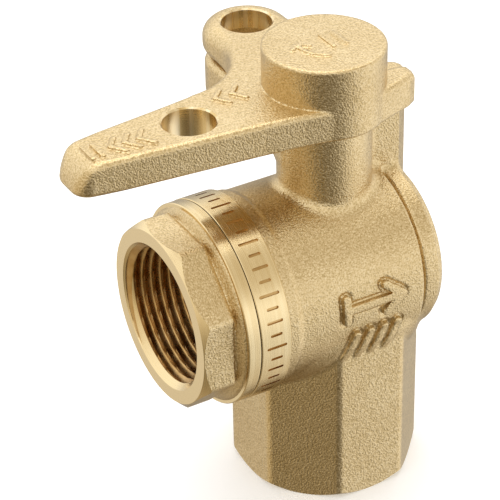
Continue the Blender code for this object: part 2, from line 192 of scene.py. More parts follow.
# Lever: hub, plate, arm, stub and ear.
HUB_RADIUS = 10.7
HUB_TOP = 43.9
HUB_EDGE = 0.45
HUB_BOTTOM_EDGE = 0.6
HUB_SET_BACK = 0.25
HUB_FRONT = (-88, -62)
HUB_FILLET = 0.12
PLATE_BOTTOM = 30.6
PLATE_TOP = 36.6
ARM_NEAR_ROOT = ((-16.0, -7.9), (-9.0, -8.9), (-4.0, -9.9))
ARM_FAR_ROOT = ((-27.0, 7.1), (-22.3, 7.75))
ARM_TIP = -49.2
ARM_TIP_HALF_WIDTH = 4.8
TIP_RADIUS = 3.2
TIP_TURN = 82
TIP_CREST = -46.4
TIP_NORMAL = (-0.79, 0.61)
TIP_EDGE = 1.4
WEB_RADIUS = 14.0
WEB_START = 8.0
WEB_TURN = -88
STUB_END = 15.2
STUB_REAR = -1.7
EAR_RADIUS = 8.0
EAR_STEPS = 40

# Edges of the plate: what each part adds to the rounding, and where it starts and how far it fades in.
PLATE_EDGE = 0.9
PLATE_BOTTOM_EDGE = 0.6
EAR_EDGE = 1.8
EAR_BOTTOM_EDGE = 1.6
EAR_EDGE_FROM = (15.0, 10.0)
ARM_TIP_EDGE = 0.6
ARM_TIP_EDGE_FROM = (40.0, 9.0)
STUB_EDGE = 0.5
STUB_EDGE_FROM = (10.0, 4.0)

# Raised marks on the lever.
PLATE_MARK_HALF_WIDTH = 0.45
PLATE_MARK_RISE = 0.4
HUB_MARK_HALF_WIDTH = 0.4
HUB_MARK_RISE = 0.32
MARK_EDGE = 0.12
MARK_FILLET = 0.1

# Underside and inside of the lever.
CHANNEL = (10.4, 20.7)
CHANNEL_STOP = -7.1
CHANNEL_CEILING = 32.8
CHANNEL_STEPS = 40
EAR_POCKET_RADIUS = 6.2
EAR_POCKET_STEPS = 60
STEM_SOCKET_RADIUS = 5.3
STEM_SOCKET_HALF = 4.3
STEM_SOCKET_STEPS = 24
SOCKET_CEILING = 41.5
PIN_HEIGHT = 38.9
PIN_HOLE_RADIUS = 1.5
PIN_SPAN = (-6.7, 11.7)

# Finishes: linear colours, noise scales per metre, relief in metres.
NOISE_RANGE = (0.3, 0.7)
BRASS = (0.84, 0.66, 0.36)
FORGED_BRASS = (0.70, 0.54, 0.30)
# Painted shade: threads and engraved ticks are coloured darker to stand in for the shade deep in the cuts.
THREADED_PAINTED_SHADE_BRASS = (0.55, 0.36, 0.15)
FORGED_GRAIN = 3200
FORGED_CLOUDS = 120
FORGED_RELIEF = 0.00012
# Grain tone on the same noise as the relief: its dark end paints shade in the hollows, its light end
# paints glints on the peaks.
FORGED_GRAIN_SHADE_AND_GLINT_COLOURS = [(0.3, (0.52, 0.39, 0.19)), (0.5, (0.69, 0.53, 0.29)), (0.7, (0.79, 0.64, 0.39))]
FORGED_TINTS = [(0.3, (0.94, 0.92, 0.88)), (0.7, (1.0, 1.0, 1.0))]
TURNED_LINES = 9000
TURNED_BANDS = 900
TURNED_RELIEF = 0.00004
TURNED_COLOURS = [(0.3, (0.76, 0.59, 0.32)), (0.7, (0.84, 0.68, 0.40))]
DRILLED_STREAKS = 700
DRILLED_RINGS = 6000
DRILLED_RELIEF = 0.00003
DRILLED_STRETCH = (1.0, 1.0, 0.04)
DRILLED_COLOURS = [(0.35, (0.68, 0.49, 0.22)), (0.65, (0.98, 0.84, 0.56))]
THREADED_PATCHES = 400
# Painted shade in the threads and ticks, varied in random patches.
THREADED_PAINTED_SHADE_COLOURS = [(0.3, (0.46, 0.28, 0.10)), (0.7, (0.62, 0.42, 0.19))]
PLAIN_RELIEF = 0.0001

# Plain finishes: colour, roughness, metallic, scale of the grain, strength of its relief.
PLAIN_FINISHES = {
    "chrome": ((0.72, 0.73, 0.75), 0.1, 1.0, 500, 0.1),
    "ptfe": ((0.86, 0.86, 0.84), 0.45, 0.0, 900, 0.2),
    "rubber": ((0.02, 0.02, 0.02), 0.6, 0.0, 1500, 0.4),
    "steel": ((0.5, 0.5, 0.51), 0.32, 1.0, 2500, 0.3),
}
NODE_FINISHES = {
    "ball": "chrome",
    "inlet_seat": "ptfe",
    "rear_seat": "ptfe",
    "stem_thrust_washer": "ptfe",
    "connector_o_ring": "rubber",
    "lower_stem_o_ring": "rubber",
    "upper_stem_o_ring": "rubber",
    "lever_pin": "steel",
}

# Studio, in metres and watts. Directions are (azimuth, elevation), as direction_of takes them.
FLOOR_REACH = 3.0
FLOOR_GLOW = 0.2
LIGHT_PLACE = (0.1, 0.2, 0.75)
LIGHT_TARGET = (0, 0, 0.04)
LIGHT_SIZE = 0.6
LIGHT_POWER = 1.2
TENT_STRENGTH = 1.32
BACKDROP_STRENGTH = 1.0
CAMERA_DIRECTION = (-29.557, 33.176)
CAMERA_ROLL = -1.255
CAMERA_DISTANCE = 0.383
CAMERA_AIM = (-0.015178, 0, 0.007439)
SENSOR_WIDTH = 36
FOCAL_LENGTH = 158.37
CLIP_START = 0.01

# Darker parts of the tent: direction, cosines of where they start and end, and colour.
TENT_PATCHES = (
    ((-24, -35), (0.99, 0.55), (0.22, 0.21, 0.19)),
    ((-80, -35), (0.95, 0.1), (0.60, 0.52, 0.38)),
    ((150, -30), (0.985, 0.5), (0.33, 0.32, 0.31)),
    ((0, -90), (0.98, 0.6), (0.55, 0.50, 0.42)),
    ((44, 46), (0.98, 0.75), (0.55, 0.49, 0.39)),
)

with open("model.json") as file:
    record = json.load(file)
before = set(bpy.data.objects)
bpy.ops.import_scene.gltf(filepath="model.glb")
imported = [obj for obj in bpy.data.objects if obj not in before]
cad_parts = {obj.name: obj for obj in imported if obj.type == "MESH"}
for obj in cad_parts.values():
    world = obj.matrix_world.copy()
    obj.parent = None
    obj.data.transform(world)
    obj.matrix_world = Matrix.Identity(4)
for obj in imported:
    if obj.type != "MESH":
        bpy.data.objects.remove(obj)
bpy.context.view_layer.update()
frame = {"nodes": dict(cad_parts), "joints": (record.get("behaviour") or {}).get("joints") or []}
JOINTS = {joint["name"]: joint for joint in frame["joints"]}
BALL_CENTRE = Vector(JOINTS["ball_turn"]["pos_m"])


# ---------------------------------------------------------------- distance fields

def union(a, b, radius):
    """Union of two fields with a fillet of that radius along the inner corner."""
    return np.maximum(radius, np.minimum(a, b)) - np.hypot(
        np.maximum(radius - a, 0), np.maximum(radius - b, 0)
    )


def common(a, b, radius):
    """Common part of two fields with its edge rounded to that radius."""
    return np.minimum(-radius, np.maximum(a, b)) + np.hypot(
        np.maximum(radius + a, 0), np.maximum(radius + b, 0)
    )


def step_up(value, start, width):
    """Smooth rise from 0 to 1."""
    t = np.clip((value - start) / width, 0, 1)
    return t * t * (3 - 2 * t)


def to_segment(u, v, start, end):
    """Offsets in a plane from the nearest point of a segment."""
    eu, ev = end[0] - start[0], end[1] - start[1]
    wu, wv = u - start[0], v - start[1]
    t = np.clip((wu * eu + wv * ev) / (eu * eu + ev * ev), 0, 1)
    return wu - eu * t, wv - ev * t


def polygon(u, v, points):
    """Distance in a plane to a closed outline, negative inside."""
    u, v = np.broadcast_arrays(u, v)
    nearest = np.full(u.shape, np.inf)
    inside = np.zeros(u.shape, bool)
    for start, end in zip(points, points[1:] + points[:1]):
        du, dv = to_segment(u, v, start, end)
        nearest = np.minimum(nearest, du ** 2 + dv ** 2)
        (au, av), (bu, bv) = start, end
        if av != bv:
            inside ^= ((av > v) != (bv > v)) & (u < (bu - au) * (v - av) / (bv - av) + au)
    return np.where(inside, -1, 1) * np.sqrt(nearest)


def strokes(u, v, lines):
    """Distance in a plane to a set of polylines."""
    nearest = np.full(np.broadcast(u, v).shape, np.inf)
    for line in lines:
        for start, end in zip(line, line[1:]):
            du, dv = to_segment(u, v, start, end)
            nearest = np.minimum(nearest, np.hypot(du, dv))
    return nearest


def arc(centre, radius, start, end, steps):
    """Points on a circle from one angle to another, in degrees."""
    angles = np.radians(np.linspace(start, end, steps + 1))
    return [(centre[0] + radius * math.cos(a), centre[1] + radius * math.sin(a)) for a in angles]


def octagon(u, v, rounding):
    """Distance to an octagonal bar with rounded corners."""
    half = ACROSS_FLATS / 2
    diagonal = math.sqrt(0.5)
    square = common(np.abs(u) - half, np.abs(v) - half, rounding)
    turned = common(np.abs(u + v) * diagonal - half, np.abs(u - v) * diagonal - half, rounding)
    return common(square, turned, rounding)


# ---------------------------------------------------------------- meshing of fields

CORNERS = [(i, j, k) for i in (0, 1) for j in (0, 1) for k in (0, 1)]
CELL_EDGES = [
    (a, b) for a in CORNERS for b in CORNERS
    if a < b and sum(abs(p - q) for p, q in zip(a, b)) == 1
]


def join_diagonals(values):
    """Fills in the squares whose solid corners touch only across a diagonal: a closed solid has none."""
    for axis in (0, 1, 2, 0, 1, 2):
        layers = np.moveaxis(values, axis, 0)
        solid = layers < 0
        near, far = solid[:, :-1, :-1], solid[:, 1:, 1:]
        left, right = solid[:, 1:, :-1], solid[:, :-1, 1:]
        i, j, k = np.nonzero((near == far) & (left == right) & (near != left))
        for dj, dk in ((0, 0), (0, 1), (1, 0), (1, 1)):
            layers[i, j + dj, k + dk] = np.minimum(layers[i, j + dj, k + dk], -JOIN_DEPTH)


def surface_net(field, low, high, step):
    """Vertices and quads of the zero surface of a field, with a last move onto that surface."""
    axes = [np.arange(lo - step, hi + 2 * step, step) for lo, hi in zip(low, high)]
    x, y, z = np.meshgrid(*axes, indexing="ij", sparse=True)
    values = np.array(np.broadcast_to(field(x, y, z), [len(a) for a in axes]))
    join_diagonals(values)
    inside = values < 0
    cells = [n - 1 for n in inside.shape]
    count = np.zeros(cells, np.int8)
    for i, j, k in CORNERS:
        count += inside[i:i + cells[0], j:j + cells[1], k:k + cells[2]]
    active = np.argwhere((count > 0) & (count < len(CORNERS)))
    index = np.full(cells, -1, np.int32)
    index[tuple(active.T)] = np.arange(len(active))
    total = np.zeros((len(active), 3))
    crossings = np.zeros((len(active), 1))
    for a, b in CELL_EDGES:
        va = values[tuple((active + a).T)]
        vb = values[tuple((active + b).T)]
        crosses = (va < 0) != (vb < 0)
        t = np.where(crosses, va / np.where(crosses, va - vb, 1), 0)[:, None]
        total += np.where(crosses[:, None], np.array(a) + t * (np.array(b) - a), 0)
        crossings += crosses[:, None]
    points = np.array([a[0] for a in axes]) + step * (active + total / crossings)
    quads = []
    for axis in range(3):
        u = np.eye(3, dtype=int)[(axis + 1) % 3]
        v = np.eye(3, dtype=int)[(axis + 2) % 3]
        first = np.take(inside, range(cells[axis]), axis)
        second = np.take(inside, range(1, cells[axis] + 1), axis)
        edges = np.argwhere(first != second)
        turned = first[tuple(edges.T)]
        quad = np.stack([index[tuple((edges - d).T)] for d in (0 * u, u, u + v, v)], 1)
        quad[~turned] = quad[~turned][:, ::-1]
        quads.append(quad)
    return onto_surface(field, points, step), np.concatenate(quads)


def onto_surface(field, points, step):
    """Two Newton steps along the field's gradient, each capped at half a cell."""
    delta = step / 8
    for _ in range(2):
        x, y, z = points.T
        value = field(x, y, z)
        gradient = np.stack([
            field(x + delta, y, z) - field(x - delta, y, z),
            field(x, y + delta, z) - field(x, y - delta, z),
            field(x, y, z + delta) - field(x, y, z - delta),
        ], 1) / (2 * delta)
        length = np.maximum(np.linalg.norm(gradient, axis=1), LEAST_GRADIENT)
        move = np.clip(value / length, -step / 2, step / 2)
        points = points - gradient / length[:, None] * move[:, None]
    return points


# ---------------------------------------------------------------- objects and crisp solids

def add_object(name, mesh, slots, index):
    """Puts a mesh into the scene, all its faces in one slot."""
    for finish in slots:
        mesh.materials.append(finish)
    mesh.polygons.foreach_set("material_index", [index] * len(mesh.polygons))
    piece = bpy.data.objects.new(name, mesh)
    bpy.context.collection.objects.link(piece)
    return piece


def forging(name, field, low, high, step, slots):
    """Object with the surface of a field that is in millimetres in the valve's frame."""
    points, quads = surface_net(field, low, high, step)
    mesh = bpy.data.meshes.new(name)
    mesh.from_pydata(points * MM + np.array(BALL_CENTRE), [], quads.tolist())
    return add_object(name, mesh, slots, FORGED)


def crisp_solid(name, build, slots, index):
    """Object whose bmesh is drawn in millimetres in the valve's frame."""
    bm = bmesh.new()
    build(bm)
    bmesh.ops.recalc_face_normals(bm, faces=bm.faces)
    bmesh.ops.scale(bm, vec=(MM, MM, MM), verts=bm.verts)
    bmesh.ops.translate(bm, vec=BALL_CENTRE, verts=bm.verts)
    mesh = bpy.data.meshes.new(name)
    bm.to_mesh(mesh)
    bm.free()
    return add_object(name, mesh, slots, index)


def turn_to(bm, axis):
    """Turns what is drawn along Z to another axis."""
    if axis == "X":
        bmesh.ops.transform(bm, matrix=Matrix.Rotation(math.pi / 2, 4, "Y"), verts=bm.verts)
    if axis == "Y":
        bmesh.ops.transform(bm, matrix=Matrix.Rotation(-math.pi / 2, 4, "X"), verts=bm.verts)


def wall(bm, lower, upper):
    """Faces between two rings of vertices. A ring that is one repeated vertex gives triangles."""
    for i in range(len(lower)):
        j = (i + 1) % len(lower)
        corners = list(dict.fromkeys((lower[i], lower[j], upper[j], upper[i])))
        if len(corners) > 2:
            bm.faces.new(corners)


def upright(bm, lower, upper):
    """Closed solid between two rings of vertices."""
    bm.faces.new(lower)
    bm.faces.new(upper)
    wall(bm, lower, upper)


def lathe(profile, axis="Z", centre=(0, 0, 0), segments=ROUND):
    """Builder of a turned solid or ring: profile holds (radius, place along the axis) pairs."""

    def build(bm):
        rings = []
        for r, h in profile:
            if r == 0:
                rings.append([bm.verts.new((0, 0, h))] * segments)
                continue
            ring = []
            for i in range(segments):
                a = 2 * math.pi * i / segments
                ring.append(bm.verts.new((r * math.cos(a), r * math.sin(a), h)))
            rings.append(ring)
        for lower, upper in zip(rings, rings[1:]):
            wall(bm, lower, upper)
        if profile[0][0] > 0:
            wall(bm, rings[-1], rings[0])
        turn_to(bm, axis)
        bmesh.ops.translate(bm, vec=centre, verts=bm.verts)

    return build


def stepped(start, steps):
    """Profile of a stepped bore from (radius, where it ends) pairs."""
    profile = [(0, start)]
    for radius, end in steps:
        profile += [(radius, start), (radius, end)]
        start = end
    return [*profile, (0, start)]


def prism(outline, bottom, top):
    """Builder of an upright solid over an outline."""

    def build(bm):
        lower = [bm.verts.new((x, y, bottom)) for x, y in outline]
        upper = [bm.verts.new((x, y, top)) for x, y in outline]
        upright(bm, lower, upper)

    return build


def thread(face, axis):
    """Builder of the solid that a threaded socket leaves free: rounded thread, run-out at the bottom."""
    rows = int(SOCKET_DEPTH / THREAD_PITCH * THREAD_ROWS_PER_TURN)
    crest = math.asin(THREAD_SHARPNESS)

    def build(bm):
        rings = []
        for row in range(rows + 1):
            depth = row * THREAD_PITCH / THREAD_ROWS_PER_TURN
            fade = min(1.0, max(0.0, (SOCKET_DEPTH - THREAD_END_ROOM - depth) / THREAD_FADE))
            ring = []
            for column in range(THREAD_COLUMNS):
                phase = depth / THREAD_PITCH - column / THREAD_COLUMNS
                wave = math.asin(THREAD_SHARPNESS * math.cos(2 * math.pi * phase)) / crest
                r = THREAD_MINOR + (THREAD_MAJOR - THREAD_MINOR) * fade * (0.5 + 0.5 * wave)
                a = 2 * math.pi * column / THREAD_COLUMNS
                ring.append(bm.verts.new((r * math.cos(a), r * math.sin(a), face + depth)))
            rings.append(ring)
        for lower, upper in zip(rings, rings[1:]):
            wall(bm, lower, upper)
        bm.faces.new(rings[0])
        bm.faces.new(rings[-1])
        turn_to(bm, axis)

    return build


def ring_marks():
    """Builder of the ticks cut into the band: long ones, with shorter ones between."""
    middle = (SEAM + BAND_END) / 2

    def build(bm):
        for i in range(TICK_COUNT):
            half_length = TICK_HALF_LENGTHS[i % len(TICK_HALF_LENGTHS)]
            turn = Matrix.Rotation(2 * math.pi * i / TICK_COUNT, 4, "X")
            outline = [
                *arc((middle + half_length, 0), TICK_HALF_WIDTH, -90, 90, 4),
                *arc((middle - half_length, 0), TICK_HALF_WIDTH, 90, 270, 4),
            ]
            lower = [bm.verts.new(turn @ Vector((u, v, BAND_RADIUS - TICK_DEPTH))) for u, v in outline]
            upper = [bm.verts.new(turn @ Vector((u, v, BAND_RADIUS + SPARE))) for u, v in outline]
            upright(bm, lower, upper)

    return build


def shape(piece, build, operation="DIFFERENCE", index=TURNED_X):
    """Cuts or adds a crisp solid whose faces bring their own slot."""
    slots = list(piece.data.materials)
    tool = crisp_solid(piece.name + "_tool", build, slots, index)
    modifier = piece.modifiers.new("shape", "BOOLEAN")
    modifier.operation = operation
    modifier.solver = "MANIFOLD"
    modifier.object = tool
    depsgraph = bpy.context.evaluated_depsgraph_get()
    result = bpy.data.meshes.new_from_object(piece.evaluated_get(depsgraph))
    piece.modifiers.clear()
    old = piece.data
    piece.data = result
    piece.data.name = piece.name
    bpy.data.meshes.remove(old)
    bpy.data.objects.remove(tool)


def finish_piece(piece, body, node):
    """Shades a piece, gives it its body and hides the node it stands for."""
    piece.data.shade_smooth()
    piece.data.set_sharp_from_angle(angle=math.radians(SMOOTH_BELOW))
    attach(piece, body)
    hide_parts(node)


def socket_cuts(piece, face, axis, index):
    """Chamfered end face, mouth chamfer and thread of a pipe socket."""
    lead_in = MOUTH_RADIUS - THREAD_MINOR
    outer = END_FACE_RADIUS + CHAMFER_REACH
    end = [
        (0, face), (END_FACE_RADIUS, face), (outer, face + CHAMFER_REACH), (outer, face - CHAMFER_REACH),
        (0, face - CHAMFER_REACH),
    ]
    mouth = [
        (0, face - SPARE), (MOUTH_RADIUS + SPARE, face - SPARE), (THREAD_MINOR, face + lead_in),
        (0, face + lead_in),
    ]
    shape(piece, lathe(end, axis), index=index)
    # The thread gets the darker finish: painted shade in the cut.
    shape(piece, thread(face, axis), index=THREADED)
    shape(piece, lathe(mouth, axis), index=index)


def hole_cut(piece, x, y, bottom, top):
    """Drilled padlock hole with a small countersink at both ends."""
    r = LOCK_HOLE_RADIUS
    rim = r + COUNTERSINK + SPARE
    profile = [
        (0, bottom - SPARE), (rim, bottom - SPARE), (r, bottom + COUNTERSINK), (r, top - COUNTERSINK),
        (rim, top + SPARE), (0, top + SPARE),
    ]
    shape(piece, lathe(profile, centre=(x, y, 0), segments=HOLE_ROUND), index=DRILLED)


# ---------------------------------------------------------------- forged shapes

def flow_marks():
    """Marks on the barrel, as (place along X, arc length round the barrel) lines: arrow and bars."""
    middle = 1.4
    tail, point, barb = -6.2, 5.2, 1.8
    arrow = [
        [(tail, middle), (point, middle)],
        [(barb, middle + 2.6), (point, middle), (barb, middle - 2.6)],
        [(tail, middle + 2.2), (tail, middle - 2.2)],
    ]
    bars = [[(x + 1.4, -4.6), (x - 0.6, -9.4)] for x in (-5.2, -2.4, 0.4, 3.2)]
    return arrow + bars


def barrel_field(x, around_x):
    """Barrel with its raised strip, and the waist, disc and sloped rim at the rear."""
    radius = BARREL_RADIUS + STRIP_RISE * (1 - step_up(x, STRIP_END - STRIP_FADE / 2, STRIP_FADE))
    barrel = common(around_x - radius, x - BARREL_REAR, BARREL_EDGE)
    barrel = np.maximum(barrel, SEAM + BAND_OVERLAP - x)
    waist = np.maximum(around_x - WAIST_RADIUS, np.maximum(x - RIM_START, -x))
    disc = common(around_x - DISC_RADIUS, x - RIM_START, DISC_REAR_EDGE)
    disc = common(disc, DISC_START - x, DISC_START_EDGE)
    cone = (around_x - RIM_RADIUS + RIM_SLOPE * (x - RIM_START)) / math.hypot(1, RIM_SLOPE)
    rim = common(cone, x - REAR_FACE, RIM_EDGE)
    rim = np.maximum(rim, RIM_START - RIM_OVERLAP - x)
    return union(union(union(barrel, waist, REAR_FILLET), disc, REAR_FILLET), rim, RIM_FILLET)


def saddle_field(x, y, z, around_x):
    saddle = common(around_x - SADDLE_RADIUS, octagon(x, y, SADDLE_CORNER) - SADDLE_MARGIN, SADDLE_EDGE)
    saddle = common(saddle, z - SADDLE_TOP, SADDLE_TOP_EDGE)
    return common(saddle, x - SADDLE_REAR, SADDLE_EDGE)


def outlet_field(x, y, z):
    outlet = common(octagon(x, y, OCTAGON_CORNER), z - OUTLET_TOP, OUTLET_TOP_EDGE)
    outlet = np.maximum(outlet, OUTLET_FACE - SPARE - z)
    steepness = OUTLET_REAR_STEEPNESS
    slope = (steepness * (x - ACROSS_FLATS / 2) + z - OUTLET_REAR_TOP) / math.hypot(steepness, 1)
    return common(outlet, slope, OUTLET_REAR_EDGE)


def lug_field(x, y, z):
    plan = polygon(x, y, [
        (LUG_RADIUS, LUG_ROOT),
        *arc((0, LOCK_RADIUS), LUG_RADIUS, 0, 180, EAR_STEPS),
        (-LUG_RADIUS, LUG_ROOT),
    ])
    return common(common(plan, z - LUG_TOP, LUG_TOP_EDGE), LUG_UNDERSIDE - z, LUG_UNDER_EDGE)


def post_field(x, y, z):
    post = common(polygon(x, y, POST_OUTLINE), z - POST_TOP, POST_EDGE)
    return np.maximum(post, POST_FOOT - z)


def body_field(x, y, z):
    around_x = np.hypot(y, z)
    around_z = np.hypot(x, y)
    barrel = union(barrel_field(x, around_x), saddle_field(x, y, z, around_x), SADDLE_FILLET)
    marks = strokes(x, np.arctan2(z, -y) * BARREL_RADIUS, flow_marks()) - FLOW_HALF_WIDTH
    marks = np.where(y < 0, marks, FAR)
    moat = common(marks - MOAT_WIDTH, -MOAT_DEPTH - barrel, FLOW_EDGE)
    marks = common(marks, barrel - FLOW_RISE, FLOW_EDGE)
    marks = common(marks, -FLOW_ROOT - barrel, FLOW_ROOT_EDGE)
    result = union(common(barrel, -moat, FLOW_EDGE), outlet_field(x, y, z), OUTLET_FILLET)
    neck = np.maximum(around_z - NECK_RADIUS, np.maximum(z - NECK_TOP, -z))
    result = union(result, neck, NECK_FILLET)
    result = union(result, post_field(x, y, z), POST_FILLET)
    result = union(result, lug_field(x, y, z), LUG_FILLET)
    hub_room = np.maximum(around_z - POST_INNER_RADIUS, NECK_TOP - z)
    result = np.maximum(result, -hub_room)
    return union(result, marks, FLOW_FILLET)


def connector_field(x, y, z):
    """Octagonal end and the cone-fronted collar behind it."""
    around_x = np.hypot(y, z)
    end = common(octagon(y, z, OCTAGON_CORNER), x - COLLAR[0] - CONNECTOR_OVERLAP, CONNECTOR_EDGE)
    end = np.maximum(end, INLET_FACE - SPARE - x)
    rise = COLLAR_RADIUS - COLLAR_START_RADIUS
    run = COLLAR[1] - COLLAR[0]
    cone = (run * (around_x - COLLAR_START_RADIUS) - rise * (x - COLLAR[0])) / math.hypot(rise, run)
    collar = common(around_x - COLLAR_RADIUS, cone, CONNECTOR_EDGE)
    before, behind = COLLAR_OVERLAPS
    collar = np.maximum(np.maximum(collar, x - COLLAR[1] - behind), COLLAR[0] - before - x)
    return union(end, collar, COLLAR_FILLET)


def plate_outline():
    """Lever plate in plan, anticlockwise: arm, hub, stub, ear and the web between ear and arm."""
    stub_root = math.degrees(math.asin(STUB_REAR / HUB_RADIUS))
    ear_root = math.degrees(math.acos(EAR_RADIUS / HUB_RADIUS))
    tip = ARM_TIP + TIP_RADIUS
    tip_half = ARM_TIP_HALF_WIDTH - TIP_RADIUS
    web_centre = (-EAR_RADIUS - WEB_RADIUS, WEB_START + WEB_RADIUS)
    return [
        *arc((tip, -tip_half), TIP_RADIUS, 180, 180 + TIP_TURN, 10),
        *ARM_NEAR_ROOT,
        *arc((0, 0), HUB_RADIUS - HUB_SET_BACK, *HUB_FRONT, 10),
        (13.2, -6.6), (STUB_END - 0.4, -5.6), (STUB_END, -4.4),
        (STUB_END, STUB_REAR - 1.0), (STUB_END - 1.0, STUB_REAR),
        *arc((0, 0), HUB_RADIUS, stub_root, ear_root, 16),
        *arc((0, LOCK_RADIUS), EAR_RADIUS, 0, 180, EAR_STEPS),
        *arc(web_centre, WEB_RADIUS, 0, WEB_TURN, 24),
        *ARM_FAR_ROOT[::-1],
        *arc((tip, tip_half), TIP_RADIUS, 180 - TIP_TURN, 180, 10),
    ]


def plate_marks():
    """Marks on the plate, as (x, y) lines: bars and chevrons on the arm, chevrons by the hub."""
    bars = [[(x, -2.6), (x, 1.4)] for x in (-45.2, -43.4)]
    arm = [[(x + 1.8, -3.2), (x, -0.8), (x + 1.8, 1.6)] for x in (-41.2, -38.6, -36.0)]
    root = [[(x + 1.2, 1.8), (x - 0.4, 4.2), (x + 1.6, 6.2)] for x in (-18.6, -15.4)]
    return bars + arm + root


def hub_marks():
    """Marks on the hub, as (x, y) lines: quarter-turn arrow and two bars."""
    turn = arc((0, 0), 4.6, 160, 250, 14)
    u, v = turn[0]
    head = [(u - 1.7, v - 1.3), (u, v), (u + 1.5, v - 1.5)]
    bars = [[(x, 2.2), (x, -2.2)] for x in (0.6, 3.0)]
    return [turn, head, *bars]


def raised(x, y, z, lines, half_width, face, rise):
    """Marks that stand up from a level face."""
    marks = common(strokes(x, y, lines) - half_width, z - face - rise, MARK_EDGE)
    return np.maximum(marks, face - SPARE - z)


def lever_field(x, y, z):
    ear = step_up(y, *EAR_EDGE_FROM)
    tip = step_up(-x, *ARM_TIP_EDGE_FROM)
    stub = step_up(x, *STUB_EDGE_FROM)
    top_edge = PLATE_EDGE + EAR_EDGE * ear + ARM_TIP_EDGE * tip + STUB_EDGE * stub
    bottom_edge = PLATE_BOTTOM_EDGE + EAR_BOTTOM_EDGE * ear + ARM_TIP_EDGE * tip
    plate = common(polygon(x, y, plate_outline()), z - PLATE_TOP, top_edge)
    slope = TIP_NORMAL[0] * (x - TIP_CREST) + TIP_NORMAL[1] * (z - PLATE_TOP)
    plate = common(plate, slope, TIP_EDGE)
    plate = common(plate, PLATE_BOTTOM - z, bottom_edge)
    hub = common(np.hypot(x, y) - HUB_RADIUS, z - HUB_TOP, HUB_EDGE)
    hub = common(hub, PLATE_BOTTOM - z, HUB_BOTTOM_EDGE)
    result = union(plate, hub, HUB_FILLET)
    for lines, half_width, face, rise in (
        (plate_marks(), PLATE_MARK_HALF_WIDTH, PLATE_TOP, PLATE_MARK_RISE),
        (hub_marks(), HUB_MARK_HALF_WIDTH, HUB_TOP, HUB_MARK_RISE),
    ):
        result = union(result, raised(x, y, z, lines, half_width, face, rise), MARK_FILLET)
    return result


# ---------------------------------------------------------------- pieces

def make_body(slots):
    body = forging(
        "valve_body_forging", body_field,
        (SEAM, -HALF_ROOM, OUTLET_FACE - 2 * SPARE),
        (POST_REACH + SPARE, LOCK_RADIUS + EAR_RADIUS + SPARE, POST_TOP + SPARE),
        BODY_STEP, slots,
    )
    band = [
        (BAND_INNER_RADIUS, SEAM), (BAND_RADIUS - BAND_EDGE, SEAM), (BAND_RADIUS, SEAM + BAND_EDGE),
        (BAND_RADIUS, BAND_END - BAND_EDGE), (BAND_RADIUS - BAND_EDGE, BAND_END),
        (BAND_INNER_RADIUS, BAND_END),
    ]
    shape(body, lathe(band, "X"), "UNION", TURNED_X)
    shape(body, lathe(stepped(SEAM - SPARE, CONNECTOR_BORE), "X"), index=TURNED_X)
    socket_cuts(body, OUTLET_FACE, "Z", TURNED_Z)
    shape(body, lathe(stepped(OUTLET_FACE + SOCKET_DEPTH - SPARE, OUTLET_PASSAGE)), index=TURNED_Z)
    shape(body, lathe(stepped(STEM_BORE_START, STEM_BORE)), index=TURNED_Z)
    hole_cut(body, 0, LOCK_RADIUS, LUG_UNDERSIDE, LUG_TOP)
    # The ticks get the darker threaded finish: painted shade in the cuts.
    shape(body, ring_marks(), index=THREADED)
    finish_piece(body, "valve_body", "valve_body")


def make_connector(slots):
    connector = forging(
        "inlet_connector_forging", connector_field,
        (INLET_FACE - 2 * SPARE, -HALF_ROOM, -HALF_ROOM), (COLLAR[1] + SPARE, HALF_ROOM, HALF_ROOM),
        CONNECTOR_STEP, slots,
    )
    shoulder = SEAM - SEAM_GAP
    core_radius, core_start = CONNECTOR_CORE
    thread_radius, thread_end = CONNECTOR_THREAD
    nose_radius, nose_end = CONNECTOR_NOSE
    turned = [
        (0, core_start), (core_radius, core_start), (core_radius, COLLAR[1]),
        (CONNECTOR_BAND_RADIUS - CONNECTOR_BAND_EDGE, COLLAR[1]),
        (CONNECTOR_BAND_RADIUS, COLLAR[1] + CONNECTOR_BAND_EDGE),
        (CONNECTOR_BAND_RADIUS, shoulder - BAND_EDGE), (CONNECTOR_BAND_RADIUS - BAND_EDGE, shoulder),
        (thread_radius, shoulder), (thread_radius, thread_end), (nose_radius, thread_end),
        (nose_radius, GROOVE[0]), (GROOVE_RADIUS, GROOVE[0]), (GROOVE_RADIUS, GROOVE[1]),
        (nose_radius, GROOVE[1]), (nose_radius, nose_end), (0, nose_end),
    ]
    shape(connector, lathe(turned, "X"), "UNION", TURNED_X)
    socket_cuts(connector, INLET_FACE, "X", TURNED_X)
    shape(connector, lathe(stepped(INLET_FACE + SOCKET_DEPTH - SPARE, INLET_PASSAGE), "X"), index=TURNED_X)
    finish_piece(connector, "valve_body", "inlet_connector")


